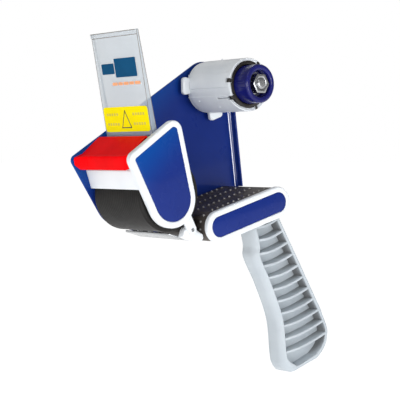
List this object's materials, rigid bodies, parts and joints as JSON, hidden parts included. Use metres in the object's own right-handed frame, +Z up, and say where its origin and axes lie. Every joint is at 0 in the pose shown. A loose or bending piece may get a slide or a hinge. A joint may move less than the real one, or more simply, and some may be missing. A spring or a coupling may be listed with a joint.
{
  "type": "tape dispenser",
  "caption": "Hand-held pistol-grip dispenser for wide packing tape: one-sided steel frame, braked spool, pressing roller, guarded cutter and hinged clear flap.",
  "frame": {"origin": "centre of the tape spool, on its axis at the middle of the tape's width", "axes": "+X from the nose to the grip, +Z up when held level, +Y towards the side plate; the roll goes on from -Y"},
  "size_m": [0.2069, 0.069, 0.2404],
  "materials": {
    "blue_lacquer": "gloss baked lacquer on sheet steel",
    "blue_inlay": "gloss",
    "white_plastic": "satin gloss",
    "spool_plastic": "satin",
    "grip_plastic": "fine satin",
    "black_plastic": "moulded",
    "black_rubber": "matte",
    "red_plastic": "gloss",
    "clear_plastic": "clear moulded",
    "yellow_label": "printed film",
    "print_ink": "printed ink",
    "blue_plastic": "gloss",
    "core_plastic": "moulded",
    "fibre": "pressed fibre",
    "zinc_steel": "zinc plated",
    "bright_steel": "ground",
    "spring_steel": "drawn wire"
  },
  "bodies": {
    "frame": {"frame_plate": "blue_lacquer", "nose_panel": "blue_inlay", "base_panel": "blue_inlay", "nose_housing": "white_plastic", "base_cover": "white_plastic", "guide_block": "white_plastic", "handle": "grip_plastic", "base_shell": "black_plastic", "tape_guide": "zinc_steel", "roller_washers": "zinc_steel", "spindle_washer": "zinc_steel", "spindle_nut": "zinc_steel", "spindle_bolt": "zinc_steel", "spring_seat": "zinc_steel", "housing_screws": "zinc_steel", "base_bolts": "zinc_steel", "axle_screw": "zinc_steel", "guide_rivets": "zinc_steel", "blade_screws": "zinc_steel", "blade": "bright_steel", "roller_axle": "bright_steel", "spindle_sleeve": "bright_steel", "guard_pin": "bright_steel", "flap_pin": "bright_steel", "guard_spring": "spring_steel", "flap_spring": "spring_steel"},
    "hub": {"hub_spool": "spool_plastic", "brake_ring": "black_plastic", "friction_disc": "fibre"},
    "pressure": {"pressure_washer": "zinc_steel", "brake_spring": "spring_steel"},
    "knob": {"knob": "blue_plastic", "knob_nut": "zinc_steel", "knob_washer": "zinc_steel"},
    "roller": {"roller_tyre": "black_rubber", "roller_core": "core_plastic", "roller_bushes": "core_plastic"},
    "guard": {"blade_guard": "red_plastic"},
    "flap": {"flap": "clear_plastic", "flap_label": "yellow_label", "flap_print": "print_ink"}
  },
  "joints": [
    {"name": "hub_spin", "type": "hinge", "parent": "frame", "child": "hub", "pos_m": [0, 0, 0], "axis": [0, 1, 0], "continuous": true},
    {"name": "brake_feed", "type": "slide", "parent": "frame", "child": "pressure", "axis": [0, 1, 0], "range_m": [-0.00063, 0.00125]},
    {"name": "knob_turn", "type": "hinge", "parent": "pressure", "child": "knob", "pos_m": [0, 0, 0], "axis": [0, 1, 0], "range_deg": [-181, 361]},
    {"name": "roller_spin", "type": "hinge", "parent": "frame", "child": "roller", "pos_m": [-0.074, 0, -0.0752], "axis": [0, 1, 0], "continuous": true},
    {"name": "guard_pivot", "type": "hinge", "parent": "frame", "child": "guard", "pos_m": [-0.0926, 0, -0.0423], "axis": [0, 1, 0], "range_deg": [0, 35], "stiffness_Nm_per_rad": 0.02, "springref_deg": -17.19},
    {"name": "flap_pivot", "type": "hinge", "parent": "frame", "child": "flap", "pos_m": [-0.087, 0, -0.0388], "axis": [0, 1, 0], "range_deg": [-30, 15], "stiffness_Nm_per_rad": 0.02}
  ],
  "couplings": [
    {"joint": "knob_turn", "follows": "brake_feed", "rad_per_m": 5026.5}
  ]
}
